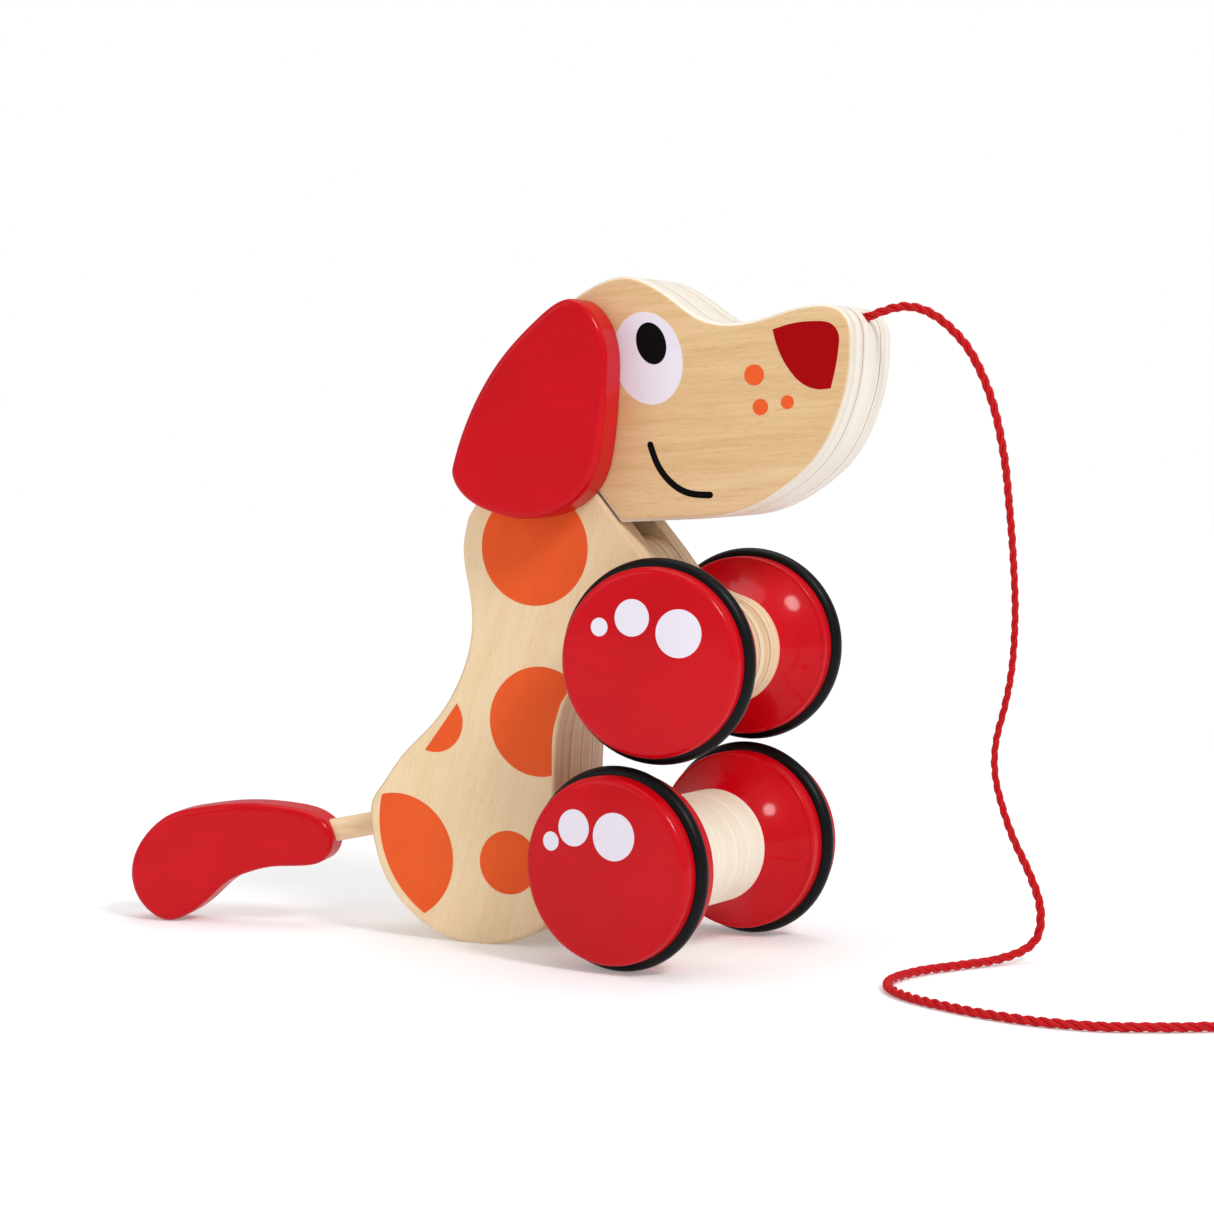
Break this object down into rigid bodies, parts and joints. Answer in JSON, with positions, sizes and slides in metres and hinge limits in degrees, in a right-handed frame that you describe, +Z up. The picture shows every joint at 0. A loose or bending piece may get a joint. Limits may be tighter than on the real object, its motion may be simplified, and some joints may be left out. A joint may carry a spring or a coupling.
{
  "type": "pull along toy",
  "caption": "Sitting wooden toy dog on two pairs of rubber-ringed wheels, with a nodding head, folding hind leg, swinging ears, wagging tail and a red pull cord.",
  "frame": {"origin": "on the floor, in the middle of the small flat under the rump, on the toy's middle plane", "axes": "+X forward, the way the dog faces; +Y to the dog's left; +Z up"},
  "size_m": [0.3396, 0.1053, 0.1659],
  "materials": {
    "body_wood": "clear satin lacquer on maple boards, orange printed spots",
    "head_wood": "clear satin lacquer on maple boards, printed face",
    "leg_wood": "pale sanded maple, satin",
    "dowel_wood": "sanded beech dowel",
    "red_paint": "red semi-gloss paint on wood",
    "black_rubber": "matt rubber ring",
    "red_yarn": "twisted polyester yarn"
  },
  "bodies": {
    "body": {"body_side_right": "body_wood", "body_side_left": "body_wood", "body_core_right": "body_wood", "body_core_left": "body_wood", "neck_pin": "dowel_wood", "hip_pin": "dowel_wood", "tail_pin": "dowel_wood"},
    "head": {"head_side_right": "head_wood", "head_side_left": "head_wood", "head_core": "head_wood", "ear_peg_right": "dowel_wood", "ear_peg_left": "dowel_wood", "cord_knot": "red_yarn", "pull_cord": "red_yarn", "cord_coil": "red_yarn", "cord_end": "red_yarn"},
    "ear_right": {"ear_right": "red_paint"},
    "ear_left": {"ear_left": "red_paint"},
    "front_wheels": {"front_axle": "dowel_wood", "front_wheel_right": "red_paint", "front_wheel_left": "red_paint", "front_tyre_right": "black_rubber", "front_tyre_left": "black_rubber"},
    "hind_leg": {"hind_leg": "leg_wood"},
    "hind_foot": {"hind_foot": "leg_wood", "swivel_pin": "dowel_wood"},
    "hind_wheels": {"hind_axle": "dowel_wood", "hind_wheel_right": "red_paint", "hind_wheel_left": "red_paint", "hind_tyre_right": "black_rubber", "hind_tyre_left": "black_rubber"},
    "tail": {"tail_paddle": "red_paint", "tail_dowel": "dowel_wood"}
  },
  "joints": [
    {"name": "head_nod", "type": "hinge", "parent": "body", "child": "head", "pos_m": [0.0117, 0, 0.1135], "axis": [0, -1, 0], "range_deg": [0, 60]},
    {"name": "ear_right_swing", "type": "hinge", "parent": "head", "child": "ear_right", "pos_m": [0.027, -0.02, 0.146], "axis": [0, -1, 0], "range_deg": [-25, 25]},
    {"name": "ear_left_swing", "type": "hinge", "parent": "head", "child": "ear_left", "pos_m": [0.027, 0.02, 0.146], "axis": [0, -1, 0], "range_deg": [-25, 25]},
    {"name": "front_wheels_roll", "type": "hinge", "parent": "body", "child": "front_wheels", "pos_m": [0.0555, 0, 0.0741], "axis": [0, 1, 0], "continuous": true},
    {"name": "hind_leg_fold", "type": "hinge", "parent": "body", "child": "hind_leg", "pos_m": [0.008, 0, 0.0246], "axis": [0, 1, 0], "range_deg": [0, 60]},
    {"name": "hind_foot_swivel", "type": "hinge", "parent": "hind_leg", "child": "hind_foot", "pos_m": [0.0317, 0, 0.0246], "axis": [0, 0, 1], "range_deg": [-1, 19]},
    {"name": "hind_wheels_roll", "type": "hinge", "parent": "hind_foot", "child": "hind_wheels", "pos_m": [0.05145, -0.00316, 0.0246], "axis": [0.1582, 0.9874, 0], "continuous": true},
    {"name": "tail_wag", "type": "hinge", "parent": "body", "child": "tail", "pos_m": [-0.02, 0, 0.0302], "axis": [0, 0, 1], "range_deg": [-29, 7]}
  ]
}
